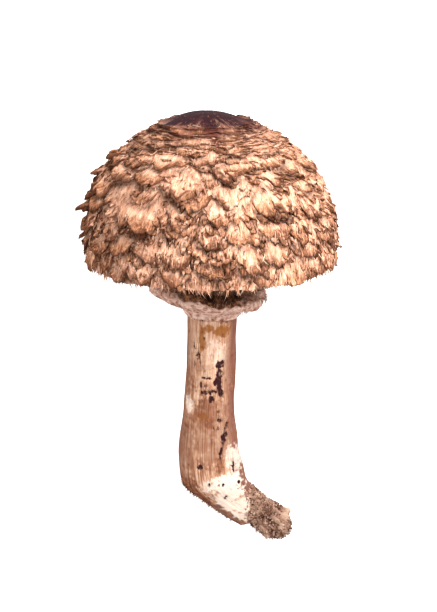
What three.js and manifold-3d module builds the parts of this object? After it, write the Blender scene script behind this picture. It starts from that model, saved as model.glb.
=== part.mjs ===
// A young parasol mushroom, picked with its bent foot still in a clump of soil, and laid on its side.
// Each piece is drawn upright round the cap's axis, in millimetres: x to the right, y away from the
// viewer and z up, with z = 0 at the cap's rim. The whole is then tipped on to its back, so that it
// rests on a pressed spot of the cap and on its foot.
import * as THREE from "three";
import { mergeVertices } from "three/addons/utils/BufferGeometryUtils.js";
import Module from "manifold-3d";

const wasm = await Module();
wasm.setup();

// How it lies
const restTilt = 14.5; // degrees that the cap's top stands above level
const restHeight = 39.9; // from the surface up to the cap's axis, at the rim
const fitGap = 0.35; // clear space between two pieces that touch

// Cap: outlines run from the middle to the rim, as [radius, height]
const capOutside = [[0, 53.1], [2, 53.1], [6, 52.6], [10.5, 51.2], [18, 47.5], [29, 39.8], [36.7, 30.5],
  [40.9, 19.8], [42.4, 11], [42.5, 4], [42, 0.3]];
const capInside = [[10, 42.6], [18, 39.2], [27, 32.6], [34.2, 23.4], [38.6, 12], [40.2, 3], [40.8, 0]];
const capLean = 2.1; // how far the top of the cap leans to the left
const capSides = 30;
const capRings = [0, 2.6, 6.5, 12, 19, 27, 36, 46, 56, 66]; // distances along the outside, up to the rim
const socketRadius = 8.9;
const socketHeight = 45.6;

// Scales: each row starts at a distance along the cap's outside, measured from its middle
const scaleRows = [
  { start: 12.5, length: 8, width: 17, lift: 0.1, thick: 0.8 },
  { start: 19, length: 6.5, width: 14.5, lift: 0.8, thick: 0.9 },
  { start: 23.4, length: 7, width: 13.5, lift: 1.2, thick: 1.1 },
  { start: 28.4, length: 8, width: 13, lift: 1.6, thick: 1.2 },
  { start: 34, length: 9, width: 12.5, lift: 1.9, thick: 1.3 },
  { start: 40.4, length: 9.6, width: 12.5, lift: 1.9, thick: 1.3 },
  { start: 47.2, length: 9.6, width: 12, lift: 1.6, thick: 1.2 },
  { start: 53.6, length: 8.8, width: 12, lift: 1.3, thick: 1.1 },
  { start: 59.4, length: 8.4, width: 12, lift: 1.1, thick: 1 },
  { start: 65.8, length: 9.8, width: 12.3, lift: 0.9, thick: 0.9 },
];
const scaleSeed = 11;
// Scales that stand out at the sides, with the azimuth in degrees
const standingScales = [
  { azimuth: 182, start: 29.5, length: 7.5, width: 9, lift: 3.1, thick: 1.5, slant: 0.1 },
  { azimuth: 178, start: 38.5, length: 7.8, width: 8.5, lift: 4, thick: 1.6, slant: -0.2 },
  { azimuth: 186, start: 43.8, length: 7.4, width: 9.5, lift: 3, thick: 1.4, slant: 0.2 },
  { azimuth: 180, start: 49, length: 8, width: 9, lift: 4.8, thick: 1.7, slant: 0 },
  { azimuth: 176, start: 59.5, length: 8, width: 10, lift: 2.4, thick: 1.2, slant: 0 },
  { azimuth: 4, start: 22.5, length: 7.5, width: 10, lift: 1.9, thick: 1.3, slant: 0.2 },
  { azimuth: -3, start: 54, length: 8, width: 10, lift: 2.6, thick: 1.4, slant: 0 },
  { azimuth: 2, start: 66.5, length: 9, width: 10, lift: 2.4, thick: 1.2, slant: 0.1 },
];

// Gills: long and short ones by turns, hanging from a thin skin under the flesh
const gillPairs = 28;
const gillThickness = 0.8;
const gillSkin = 0.9;
const gillSteps = 4;
const gillEdge = [[12.2, 38], [13.2, 33], [18, 26.5], [25, 17.5], [31, 9], [35.5, 3.4], [38.4, 1.6]];
const shortGillStart = 0.46; // share of the edge, from the stem, that a short gill leaves out

// Stem: sections as the two ends of their width, then the depth of the middle and half the thickness
const stemSections = [
  { left: [-8.3, 45.2], right: [8.3, 45.2], back: 0, half: 8.3 },
  { left: [-8.4, 12], right: [8.4, 12], back: 0, half: 8.4 },
  { left: [-8.5, -21.9], right: [8.6, -21.9], back: 0, half: 8.6 },
  { left: [-8.8, -32.2], right: [8.3, -32.2], back: 0, half: 8.5 },
  { left: [-9.9, -47.1], right: [8.1, -47.1], back: 0, half: 8.7 },
  { left: [-11, -60.3], right: [8.8, -60.3], back: 0.1, half: 9.2 },
  { left: [-11.9, -70.7], right: [10, -70.7], back: 0.4, half: 10 },
  { left: [-11.7, -77.9], right: [11.3, -77.1], back: 1, half: 10.4 },
  { left: [-10.6, -82.9], right: [12.5, -81.8], back: 2, half: 10.2 },
  { left: [-7.6, -86.6], right: [14.2, -84.9], back: 3.4, half: 9.3 },
  { left: [-3.4, -90.8], right: [16.6, -87.7], back: 5, half: 8.3 },
  { left: [1.7, -95.2], right: [18.9, -90.7], back: 6.4, half: 7.3 },
  { left: [6.9, -99.3], right: [21, -93.5], back: 7.5, half: 6.2 },
  { left: [11.4, -102.5], right: [22.5, -95.7], back: 8.1, half: 5 },
];
const stemSides = 18;
const stemSteps = 30;

// Ring: outline of its section, out from the stem, round the ragged lip and back
const ringOutside = [[8.95, -19.2], [9.7, -18.8], [10.6, -17], [13.4, -15.3], [16.8, -13.8], [19.4, -12.2]];
const ringLip = [[20.2, -10.5], [19.4, -8.9]];
const ringInside = [[15.6, -10], [12, -11.4], [8.95, -12.1]];
const ringSides = 36;
const ringSlope = 0.12; // how far the ring drops to the right, for each millimetre
const ringRag = 1; // how far its lip goes in and out
const ringShift = 0.9; // how far its lip lies to the left of the stem's middle

// Soil that clings to the foot
const soilMiddle = [20.9, 8.5, -99.3];
const soilHalf = [9.4, 8, 6.1];
const soilLumps = 44;
const soilTurn = 36; // degrees that its length slopes down to the right
const rootletCount = 11;
const rootletLength = 2.2;
const rootletRadius = 0.45;

const colours = { cap: 0xb58a6a, gills: 0xe9dcc4, stem: 0xd9bd9c, ring: 0xc9a88b, soil: 0x5b4432 };

// Random numbers that come out the same on every run
function randomFrom(seed) {
  let state = seed;
  return () => {
    state = (state + 0x6d2b79f5) | 0;
    let t = Math.imul(state ^ (state >>> 15), 1 | state);
    t = (t + Math.imul(t ^ (t >>> 7), 61 | t)) ^ t;
    return ((t ^ (t >>> 14)) >>> 0) / 4294967296;
  };
}

function spline(points) {
  return new THREE.SplineCurve(points.map(([r, z]) => new THREE.Vector2(r, z)));
}

function solidOf(geometry) {
  const plain = geometry.clone();
  plain.deleteAttribute("normal");
  plain.deleteAttribute("uv");
  const merged = mergeVertices(plain, 1e-4);
  const made = new wasm.Manifold(new wasm.Mesh({
    numProp: 3,
    vertProperties: merged.getAttribute("position").array,
    triVerts: new Uint32Array(merged.index.array),
  }));
  return made;
}

// The outer body of a joined solid: pockets sealed inside it are filled and loose scraps are dropped
function outerBody(solid) {
  return solid.decompose().reduce((most, body) => (body.volume() > most.volume() ? body : most));
}

function geometryOf(solid) {
  const mesh = outerBody(solid).getMesh();
  const geometry = new THREE.BufferGeometry();
  geometry.setAttribute("position", new THREE.BufferAttribute(mesh.vertProperties, 3));
  geometry.setIndex(new THREE.BufferAttribute(mesh.triVerts, 1));
  geometry.computeVertexNormals();
  return geometry;
}

function moveVertices(geometry, move) {
  const position = geometry.getAttribute("position");
  const point = new THREE.Vector3();
  for (let i = 0; i < position.count; i++) {
    move(point.fromBufferAttribute(position, i), i);
    position.setXYZ(i, point.x, point.y, point.z);
  }
  return geometry;
}

// The cap, its gills and the top of the stem lean together
function lean(geometry) {
  return moveVertices(geometry, (p) => {
    p.x -= capLean * Math.max(0, p.z / capOutside[0][1]) ** 3;
  });
}

// A closed solid of revolution about z, from an outline of [radius, height]
function turned(outline, sides) {
  const points = outline.map(([r, z]) => new THREE.Vector2(r, z));
  return new THREE.LatheGeometry(points, sides).rotateX(Math.PI / 2);
}

const outsideCurve = spline(capOutside);
const outsideLength = outsideCurve.getLength();

// The point at an azimuth and a distance along the cap's outside, raised off the surface
function onCap(azimuth, along, raised) {
  const share = Math.min(along / outsideLength, 1);
  const at = outsideCurve.getPointAt(share);
  const way = outsideCurve.getTangentAt(share);
  const past = along - share * outsideLength;
  const radius = at.x - way.y * raised + way.x * past;
  const height = at.y + way.x * raised + way.y * past;
  return new THREE.Vector3(radius * Math.cos(azimuth), radius * Math.sin(azimuth), height);
}

// One scale: a wedge that grows out of the cap and ends in a thick lifted lip
function scaleSolid({ azimuth, start, length, width, lift, thick, slant }) {
  const radius = outsideCurve.getPointAt(Math.min((start + length / 2) / outsideLength, 1)).x;
  const root = -0.9;
  const crown = [
    [-0.42, 0, root], [0.42, 0, root],
    [-0.5, 0.5, -0.1], [0, 0.46, 0.5 + 0.4 * lift], [0.5, 0.5, -0.1],
    [-0.36, 0.85, 0.25 + 0.45 * lift], [0.04, 1, 0.5 + lift], [0.38, 0.83, 0.25 + 0.45 * lift],
  ];
  const under = crown.slice(5).map(([u, v, raised]) => [u * 0.96, v - 0.05, raised - thick]);
  const points = [...crown, ...under].map(([u, v, raised]) => {
    const across = u * width + slant * (v - 0.5) * length;
    return onCap(azimuth + across / radius, start + v * length, raised);
  });
  const faces = [
    [0, 3, 1], [0, 2, 3], [1, 3, 4], [2, 5, 3], [3, 5, 6], [3, 6, 7], [3, 7, 4],
    [0, 1, 10], [0, 10, 9], [0, 9, 8],
    [0, 8, 2], [2, 8, 5], [1, 4, 10], [4, 7, 10],
    [5, 8, 9], [5, 9, 6], [6, 9, 10], [6, 10, 7],
  ];
  const geometry = new THREE.BufferGeometry().setFromPoints(points);
  geometry.setIndex(faces.flat());
  return solidOf(geometry);
}

// Every scale's place and size, row by row
function scaleList() {
  const random = randomFrom(scaleSeed);
  const spread = (amount) => 1 + amount * (2 * random() - 1);
  const scales = [];
  for (const row of scaleRows) {
    const radius = outsideCurve.getPointAt(Math.min((row.start + row.length / 2) / outsideLength, 1)).x;
    const count = Math.round((2 * Math.PI * radius) / (row.width * 1.02));
    const turn = random() * 2 * Math.PI;
    for (let i = 0; i < count; i++) {
      const azimuth = turn + ((i + 0.35 * (2 * random() - 1)) * 2 * Math.PI) / count;
      const leftward = 0.5 - 0.5 * Math.cos(azimuth);
      scales.push({
        azimuth,
        start: row.start + 1.5 * (2 * random() - 1) * (row.lift > 0.5 ? 1 : 0.5),
        length: row.length * spread(0.2),
        width: row.width * spread(0.22),
        lift: row.lift * spread(0.45) * (0.75 + 0.95 * leftward),
        thick: row.thick * spread(0.15),
        slant: 0.35 * (2 * random() - 1),
      });
    }
  }
  for (const scale of standingScales) {
    scales.push({ ...scale, azimuth: THREE.MathUtils.degToRad(scale.azimuth) });
  }
  return scales;
}

// Everything below the surface that the mushroom lies on, in the upright frame
function belowSurface() {
  const deep = 60;
  const block = new THREE.BoxGeometry(300, deep, 300).translate(0, deep / 2 + restHeight, 0);
  return solidOf(block.rotateX(-THREE.MathUtils.degToRad(restTilt)));
}

function cap() {
  const outside = [...capRings, outsideLength].map((along) => {
    const p = outsideCurve.getPointAt(along / outsideLength);
    return [p.x, p.y];
  });
  const lip = [[41.5, -0.5]];
  const inside = spline(capInside).getSpacedPoints(6).reverse().map((p) => [p.x, p.y]);
  const socket = [[socketRadius, capInside[0][1]], [socketRadius, socketHeight], [0, socketHeight]];
  const outline = [...outside, ...lip, ...inside, ...socket].reverse();
  outline[outline.length - 1][0] = 0;
  const flesh = turned(outline, capSides);
  const scales = scaleList().map(scaleSolid);
  const whole = wasm.Manifold.union([solidOf(flesh), ...scales]);
  return lean(geometryOf(whole.subtract(belowSurface())));
}

function gills() {
  const inner = spline(capInside);
  const away = (depth) => inner.getSpacedPoints(gillSteps).map((p, i) => {
    const way = inner.getTangentAt(i / gillSteps);
    return [p.x + way.y * depth, p.y - way.x * depth];
  });
  const skinTop = away(fitGap);
  const skinUnder = away(fitGap + gillSkin).reverse();
  const skin = turned([...skinTop, ...skinUnder, skinTop[0]].reverse(), capSides);
  const root = away(fitGap + gillSkin / 2);
  const edge = spline(gillEdge);
  const blade = (start) => {
    const kept = Math.round(start * gillSteps);
    const rootPart = root.slice(kept);
    const edgePart = edge.getSpacedPoints(gillSteps).map((p) => [p.x, p.y]).slice(kept);
    const shape = new THREE.Shape([...rootPart, ...edgePart.reverse()].map(([r, z]) => new THREE.Vector2(r, z)));
    const flat = new THREE.ExtrudeGeometry(shape, { depth: gillThickness, bevelEnabled: false });
    return flat.translate(0, 0, -gillThickness / 2).rotateX(Math.PI / 2);
  };
  const long = blade(0);
  const short = blade(shortGillStart);
  const blades = [];
  for (let i = 0; i < gillPairs; i++) {
    const turn = (i * 2 * Math.PI) / gillPairs;
    blades.push(solidOf(long.clone().rotateZ(turn)));
    blades.push(solidOf(short.clone().rotateZ(turn + Math.PI / gillPairs)));
  }
  return lean(geometryOf(wasm.Manifold.union([solidOf(skin), ...blades])));
}

// The stem's skin, or with extra the skin of a hollow that clears it
function stemSolid(extra) {
  const corner = (key, i) => new THREE.Vector3(stemSections[i][key][0], stemSections[i].back, stemSections[i][key][1]);
  const along = (key) => new THREE.CatmullRomCurve3(stemSections.map((s, i) => corner(key, i)), false, "centripetal");
  const left = along("left");
  const right = along("right");
  const halves = new THREE.CatmullRomCurve3(
    stemSections.map((s, i) => new THREE.Vector3(s.half, i, 0)), false, "centripetal");
  const tube = new THREE.CylinderGeometry(1, 1, 1, stemSides, stemSteps);
  moveVertices(tube, (p) => {
    const share = 0.5 - p.y;
    const a = left.getPoint(share);
    const b = right.getPoint(share);
    const across = b.clone().sub(a).multiplyScalar(0.5);
    const middle = a.clone().add(across);
    const half = halves.getPoint(share).x + extra;
    across.setLength(across.length() + extra);
    const backward = new THREE.Vector3(0, 1, 0);
    const sideways = p.x;
    const depth = p.z;
    p.copy(middle).addScaledVector(across, sideways).addScaledVector(backward, -depth * half);
  });
  return solidOf(lean(tube));
}

function stem() {
  return geometryOf(stemSolid(0));
}

function ring() {
  const outline = [...ringOutside, ...ringLip, ...ringInside, ringOutside[0]];
  const collar = turned(outline, ringSides);
  const random = randomFrom(5);
  const rag = Array.from({ length: ringSides }, () => 2 * random() - 1);
  const lipRadius = ringLip[0][0];
  moveVertices(collar, (p) => {
    const radius = Math.hypot(p.x, p.y);
    const azimuth = Math.atan2(p.y, p.x);
    const side = Math.round((azimuth / (2 * Math.PI)) * ringSides + ringSides) % ringSides;
    const outward = Math.max(0, (radius - 13) / (lipRadius - 13));
    const reach = 1 + (outward * ringRag * rag[side]) / radius;
    p.x = p.x * reach - outward * ringShift;
    p.y *= reach;
    p.z += outward * ringRag * 0.7 * rag[(side + 7) % ringSides] - ringSlope * p.x * (0.4 + 0.6 * outward);
  });
  return geometryOf(solidOf(collar));
}

function soil() {
  const random = randomFrom(23);
  const anyWay = () => new THREE.Vector3(2 * random() - 1, 2 * random() - 1, 2 * random() - 1).normalize();
  const bumps = Array.from({ length: soilLumps }, () => ({ way: anyWay(), size: 0.24 * (2 * random() - 0.95) }));
  const lump = new THREE.IcosahedronGeometry(1, 4);
  moveVertices(lump, (p) => {
    const way = p.clone().normalize();
    const raised = bumps.reduce((sum, b) => sum + b.size * Math.exp(26 * (way.dot(b.way) - 1)), 1);
    p.copy(way.multiplyScalar(raised)).multiply(new THREE.Vector3(...soilHalf));
  });
  const rootlets = Array.from({ length: rootletCount }, () => {
    const way = anyWay();
    const base = way.clone().multiply(new THREE.Vector3(...soilHalf)).multiplyScalar(0.85);
    const length = rootletLength * (0.7 + 0.6 * random()) + 1.5;
    const hair = new THREE.CylinderGeometry(rootletRadius * 0.7, rootletRadius, length, 5).translate(0, length / 2, 0);
    hair.applyQuaternion(new THREE.Quaternion().setFromUnitVectors(new THREE.Vector3(0, 1, 0), way));
    return hair.translate(base.x, base.y, base.z);
  });
  const placed = [lump, ...rootlets].map((geometry) => {
    geometry.rotateY(THREE.MathUtils.degToRad(soilTurn)).translate(...soilMiddle);
    return solidOf(geometry);
  });
  const whole = wasm.Manifold.union(placed);
  return geometryOf(whole.subtract(stemSolid(fitGap)).subtract(belowSurface()));
}

function named(name, geometry, roughness = 0.85) {
  const material = new THREE.MeshStandardMaterial({ color: colours[name], roughness, metalness: 0 });
  const mesh = new THREE.Mesh(geometry, material);
  mesh.name = name;
  return mesh;
}

// Tipped on to its back: the far side goes down on to the surface, at z = 0
const lying = new THREE.Group();
lying.add(named("cap", cap()), named("gills", gills()), named("stem", stem(), 0.7), named("ring", ring()));
lying.add(named("soil", soil(), 0.95));
lying.rotation.x = THREE.MathUtils.degToRad(restTilt - 90);
lying.position.z = restHeight;

// The origin is on that surface, under the middle of the whole
const mushroom = new THREE.Group();
mushroom.name = "parasol_mushroom";
mushroom.add(lying);
mushroom.updateMatrixWorld(true);
const middle = new THREE.Box3().setFromObject(mushroom, true).getCenter(new THREE.Vector3());
lying.position.x = -middle.x;
lying.position.y = -middle.y;

export default mushroom;
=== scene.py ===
import math
import bpy
import numpy as np
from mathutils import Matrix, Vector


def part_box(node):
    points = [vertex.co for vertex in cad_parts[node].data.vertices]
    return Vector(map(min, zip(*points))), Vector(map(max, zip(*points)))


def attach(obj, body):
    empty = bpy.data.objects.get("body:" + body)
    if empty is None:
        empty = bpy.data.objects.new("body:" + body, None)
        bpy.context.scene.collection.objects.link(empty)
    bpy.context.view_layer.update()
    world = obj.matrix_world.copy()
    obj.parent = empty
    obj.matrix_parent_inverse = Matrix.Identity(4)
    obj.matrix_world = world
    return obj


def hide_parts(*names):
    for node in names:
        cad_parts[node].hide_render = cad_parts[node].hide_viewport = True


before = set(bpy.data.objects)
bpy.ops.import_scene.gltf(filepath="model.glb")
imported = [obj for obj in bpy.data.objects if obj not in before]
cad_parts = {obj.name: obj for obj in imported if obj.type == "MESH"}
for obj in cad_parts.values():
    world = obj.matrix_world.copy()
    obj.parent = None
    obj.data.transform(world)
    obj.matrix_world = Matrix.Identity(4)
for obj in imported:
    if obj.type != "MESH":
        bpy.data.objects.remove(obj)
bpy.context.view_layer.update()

bpy.ops.object.select_all(action="DESELECT")

# The mushroom is drawn upright in millimetres, as if it stood on its stem: x to the right, y away from
# the viewer, z up, with z = 0 at the cap's rim. laid() then tips it on to its back, where the CAD lies.
rest = {"tilt": math.radians(14.5), "height": 39.9, "stemTop": 45.2, "stemTopRadius": 8.3}
gillLow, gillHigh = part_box("gills")
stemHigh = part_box("stem")[1]
tiltSin, tiltCos = math.sin(rest["tilt"]), math.cos(rest["tilt"])
middleX = 500 * (gillLow.x + gillHigh.x)
middleY = 1000 * stemHigh.y - rest["stemTopRadius"] * tiltSin - rest["stemTop"] * tiltCos


def laid(x, y, z):
    across = x + middleX
    along = y * tiltSin + z * tiltCos + middleY
    up = np.maximum(z * tiltSin - y * tiltCos + rest["height"], 0.05)  # just clear of the table
    return np.stack([across, along, up], axis=-1) / 1000


# Random numbers that follow the same rule as the CAD's, so that the big scales land in the same places
def randomFrom(seed):
    state = seed
    full = 0xFFFFFFFF
    while True:
        state = (state + 0x6D2B79F5) & full
        t = ((state ^ (state >> 15)) * (1 | state)) & full
        t = (t + ((t ^ (t >> 7)) * (61 | t) & full) & full) ^ t
        yield ((t ^ (t >> 14)) & full) / 4294967296


# Smooth random values between -1 and 1 over a plane that repeats every wrapX across
noiseTables = {}
noiseCells = 256


def softNoise(x, y, seed, wrapX=noiseCells):
    if seed not in noiseTables:
        noiseTables[seed] = np.random.default_rng(seed).random((noiseCells, noiseCells)) * 2 - 1
    table = noiseTables[seed]
    cellX, cellY = np.floor(x).astype(int), np.floor(y).astype(int)
    shareX, shareY = x - cellX, y - cellY
    shareX = shareX * shareX * (3 - 2 * shareX)
    shareY = shareY * shareY * (3 - 2 * shareY)
    left, right = cellX % wrapX, (cellX + 1) % wrapX
    low, high = cellY % noiseCells, (cellY + 1) % noiseCells
    near = table[left, low] * (1 - shareX) + table[right, low] * shareX
    far = table[left, high] * (1 - shareX) + table[right, high] * shareX
    return near * (1 - shareY) + far * shareY


def smoothStep(low, high, value):
    share = np.clip((value - low) / (high - low), 0, 1)
    return share * share * (3 - 2 * share)


# The turn round a rolled skin, with its seam at the back
def turnAt(u):
    return 2 * math.pi * u + math.pi / 2


# 1 on the mushroom's left and 0 on its right
def leftness(azimuth):
    return 0.5 - 0.5 * np.cos(azimuth)


# The columns of a table of points, at places between its rows
def tableAt(table, place):
    return [np.interp(place, np.arange(len(table)), column) for column in table.T]


# A cubic from one point to the next, with its directions at both
def cubic(here, after, leave, arrive, w):
    return (here + leave * w + (3 * (after - here) - 2 * leave - arrive) * w ** 2
            + (2 * (here - after) + leave + arrive) * w ** 3)


# Uniform spline through points, sampled evenly along its length: returns distances, points and directions
def sampledCurve(points, count=600):
    points = np.array(points, float)
    last = len(points) - 1
    t = np.linspace(0, last, count * 4)
    cell = np.minimum(t.astype(int), last - 1)
    w = (t - cell)[:, None]
    before, here = points[np.maximum(cell - 1, 0)], points[cell]
    after, later = points[cell + 1], points[np.minimum(cell + 2, last)]
    path = cubic(here, after, (after - before) / 2, (later - here) / 2, w)
    travelled = np.concatenate([[0], np.cumsum(np.linalg.norm(np.diff(path, axis=0), axis=1))])
    distances = np.linspace(0, travelled[-1], count)
    even = np.stack([np.interp(distances, travelled, path[:, i]) for i in range(path.shape[1])], axis=1)
    ways = np.gradient(even, axis=0)
    return distances, even, ways / np.linalg.norm(ways, axis=1)[:, None]


# Mesh making: a grid primitive is bent to shape and its seams are merged
def newGrid(name, columns, rows):
    bpy.ops.mesh.primitive_grid_add(x_subdivisions=columns, y_subdivisions=rows, size=1, calc_uvs=True)
    piece = bpy.context.object
    piece.name = name
    piece.data.name = name
    return piece


def corners(piece):
    points = np.empty(len(piece.data.vertices) * 3, np.float32)
    piece.data.vertices.foreach_get("co", points)
    return points.reshape(-1, 3).astype(float)


def setCorners(piece, points):
    piece.data.vertices.foreach_set("co", np.asarray(points, np.float32).ravel())
    piece.data.update()


def setMask(piece, name, values):
    mask = piece.data.attributes.new(name, "FLOAT", "POINT")
    mask.data.foreach_set("value", np.broadcast_to(values, len(piece.data.vertices)).astype(np.float32))


def closeSeams(piece, gap=1e-7):
    bpy.ops.object.select_all(action="DESELECT")
    bpy.context.view_layer.objects.active = piece
    piece.select_set(True)
    bpy.ops.object.mode_set(mode="EDIT")
    bpy.ops.mesh.select_all(action="SELECT")
    bpy.ops.mesh.remove_doubles(threshold=gap)
    bpy.ops.mesh.normals_make_consistent(inside=False)
    bpy.ops.object.mode_set(mode="OBJECT")
    bpy.ops.object.shade_smooth()
    piece.select_set(False)


# A grid rolled into a closed skin: place(u, v) gives upright points, and masks(u, v) ride on its corners
def rolledSkin(name, plan, place, masks):
    piece = newGrid(name, plan["columns"], plan["rows"])
    flat = corners(piece)
    u, v = flat[:, 0] + 0.5, flat[:, 1] + 0.5
    setCorners(piece, laid(*place(u, v)))
    for maskName, values in masks(u, v).items():
        setMask(piece, maskName, values)
    closeSeams(piece)
    return piece


# A closed pillow on u from -1 to 1 and v from 0 to 1, with z = -1 to 1 through its thickness
def pillowShape(columns, rows):
    upper = newGrid("pillow", columns, rows)
    flat = corners(upper)
    u, v = flat[:, 0] * 2, flat[:, 1] + 0.5
    depth = np.sqrt(np.clip((1 - np.abs(u) ** 6) * (1 - v ** 7) * np.minimum(v * 5, 1), 0, 1))
    setCorners(upper, np.stack([u, v, depth], axis=1))
    lower = upper.copy()
    lower.data = upper.data.copy()
    bpy.context.collection.objects.link(lower)
    setCorners(lower, np.stack([u, v, -depth], axis=1))
    upper.select_set(True)
    lower.select_set(True)
    bpy.context.view_layer.objects.active = upper
    bpy.ops.object.join()
    closeSeams(upper)
    return upper


# Many copies of one small shape in a single mesh: rule(copy, points) bends each copy to its place
def copiedShape(name, shape, copies, rule):
    base = corners(shape)
    shapeFaces = [list(face.vertices) for face in shape.data.polygons]
    points, faces, masks = [], [], {}
    for number, copy in enumerate(copies):
        placed, values = rule(copy, base)
        points.append(placed)
        faces += [[corner + number * len(base) for corner in face] for face in shapeFaces]
        for key, value in values.items():
            masks.setdefault(key, []).append(np.broadcast_to(value, len(base)))
    mesh = bpy.data.meshes.new(name)
    mesh.from_pydata(np.concatenate(points).tolist(), [], faces)
    piece = bpy.data.objects.new(name, mesh)
    bpy.context.collection.objects.link(piece)
    for key, values in masks.items():
        setMask(piece, key, np.concatenate(values))
    mesh.polygons.foreach_set("use_smooth", np.ones(len(faces), bool))
    mesh.update()
    return piece


# Shader maths: a signal is one socket, and an expression on signals adds the nodes
class Signal:
    def __init__(self, finish, socket):
        self.finish = finish
        self.socket = socket

    def maths(self, operation, first, second):
        return self.finish.node("Math", {"operation": operation}, {0: first, 1: second})

    def __add__(self, other):
        return self.maths("ADD", self, other)

    def __radd__(self, other):
        return self.maths("ADD", other, self)

    def __sub__(self, other):
        return self.maths("SUBTRACT", self, other)

    def __rsub__(self, other):
        return self.maths("SUBTRACT", other, self)

    def __mul__(self, other):
        return self.maths("MULTIPLY", self, other)

    def __rmul__(self, other):
        return self.maths("MULTIPLY", other, self)


# One material: a method for any node, and short names for the kinds that are used most
class Finish:
    def __init__(self, name, roughness, specular):
        self.material = bpy.data.materials.new(name)
        self.material.use_nodes = True
        self.tree = self.material.node_tree
        self.shader = self.tree.nodes["Principled BSDF"]
        self.shader.inputs["Roughness"].default_value = roughness
        self.shader.inputs["Specular IOR Level"].default_value = specular

    def node(self, kind, settings=None, inputs=None, output=0):
        made = self.tree.nodes.new("ShaderNode" + kind)
        for key, value in (settings or {}).items():
            if key == "stops":
                ramp = made.color_ramp.elements
                while len(ramp) < len(value):
                    ramp.new(0.5)
                for element, (place, colour) in zip(ramp, value):
                    element.position = place
                    element.color = (*colour, 1)
            else:
                setattr(made, key, value)
        for key, value in (inputs or {}).items():
            if isinstance(value, Signal):
                self.tree.links.new(value.socket, made.inputs[key])
            else:
                made.inputs[key].default_value = value
        return Signal(self, made.outputs[output])

    def mask(self, name):
        return self.node("Attribute", {"attribute_name": name}, output="Fac")

    def cosine(self, value):
        return self.node("Math", {"operation": "COSINE"}, {0: value})

    def noise(self, vector, scale, detail=4.0, roughness=0.6, distortion=0.0):
        return self.node("TexNoise", {}, {"Vector": vector, "Scale": scale, "Detail": detail,
                                          "Roughness": roughness, "Distortion": distortion})

    def objectNoise(self, scale, detail, roughness=0.6):
        return self.noise(self.node("TexCoord", output="Object"), scale, detail, roughness)

    # Noise drawn out along a piece, from two masks that follow its surface
    def streaks(self, across, down, detail, roughness=0.6, distortion=0.0):
        vector = self.node("CombineXYZ", {}, {"X": across, "Y": down, "Z": 0.0})
        return self.noise(vector, 1.0, detail, roughness, distortion)

    def between(self, value, low, high):
        return self.node("MapRange", {"interpolation_type": "SMOOTHSTEP"},
                         {"Value": value, "From Min": low, "From Max": high})

    def blend(self, share, first, second):
        inputs = {0: share, 6: first, 7: second}
        for key in (6, 7):
            if not isinstance(inputs[key], Signal):
                inputs[key] = (*inputs[key], 1)
        return self.node("Mix", {"data_type": "RGBA"}, inputs, output=2)

    def ramp(self, value, stops):
        return self.node("ValToRGB", {"stops": stops}, {"Fac": value})

    def bump(self, height, distance, strength):
        return self.node("Bump", {}, {"Height": height, "Distance": distance, "Strength": strength})

    def link(self, signal, socket):
        self.tree.links.new(signal.socket, self.shader.inputs[socket])


def finished(piece, finish, slotName, *nodes):
    piece.data.materials.clear()
    piece.data.materials.append(finish.material)
    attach(piece, "root")
    if nodes:
        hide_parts(*nodes)


# Cap: its outline and its big scales, as in the CAD
capPlan = {
    "outside": [(0, 53.1), (2, 53.1), (6, 52.6), (10.5, 51.2), (18, 47.5), (29, 39.8), (36.7, 30.5),
                (40.9, 19.8), (42.4, 11), (42.5, 4), (42, 0.3)],
    "inside": [(10, 42.6), (18, 39.2), (27, 32.6), (34.2, 23.4), (38.6, 12), (40.2, 3), (40.8, 0)],
    "rimFoot": (41.5, -0.3), "lean": 2.1, "socketRadius": 8.9, "socketHeight": 45.6, "discEdge": 20.5,
    "calmTo": 26,  # the scales lie flat as far down as this
    "columns": 520, "rows": 166,
    "outShare": 0.9,  # the share of the rows that lies on the outside
    "fringe": 1900, "looseFibres": 2600,
}
outsideDistances, outsidePoints, outsideWays = sampledCurve(capPlan["outside"])
outsideLength = outsideDistances[-1]


def lean(x, z):
    return x - capPlan["lean"] * (np.maximum(0, z) / capPlan["outside"][0][1]) ** 3


# The upright point at an azimuth and a distance along the cap's outside, raised off the surface
def onCap(azimuth, along, raised):
    inner = np.clip(along, 0, outsideLength)
    past = along - inner
    radius, height, wayR, wayZ = (np.interp(inner, outsideDistances, column)
                                  for column in (*outsidePoints.T, *outsideWays.T))
    radius = np.maximum(radius - wayZ * raised + wayR * past, 0)
    height = height + wayR * raised + wayZ * past
    return lean(radius * np.cos(azimuth), height), radius * np.sin(azimuth), height


def capRadius(along):
    return np.interp(along, outsideDistances, outsidePoints[:, 0])


scalePlan = {
    "rows": [(12.5, 8, 17, 0.1, 0.8), (19, 6.5, 14.5, 0.8, 0.9), (23.4, 7, 13.5, 1.2, 1.1),
             (28.4, 8, 13, 1.6, 1.2), (34, 9, 12.5, 1.9, 1.3), (40.4, 9.6, 12.5, 1.9, 1.3),
             (47.2, 9.6, 12, 1.6, 1.2), (53.6, 8.8, 12, 1.3, 1.1), (59.4, 8.4, 12, 1.1, 1),
             (65.8, 9.8, 12.3, 0.9, 0.9)],  # start, length, width, lift, thickness
    "standing": [(182, 29.5, 7.5, 9, 3.1, 1.5, 0.1), (178, 38.5, 7.8, 8.5, 4, 1.6, -0.2),
                 (186, 43.8, 7.4, 9.5, 3, 1.4, 0.2), (180, 49, 8, 9, 4.8, 1.7, 0),
                 (176, 59.5, 8, 10, 2.4, 1.2, 0), (4, 22.5, 7.5, 10, 1.9, 1.3, 0.2),
                 (-3, 54, 8, 10, 2.6, 1.4, 0), (2, 66.5, 9, 10, 2.4, 1.2, 0.1)],
    "seed": 11,
}


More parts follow.
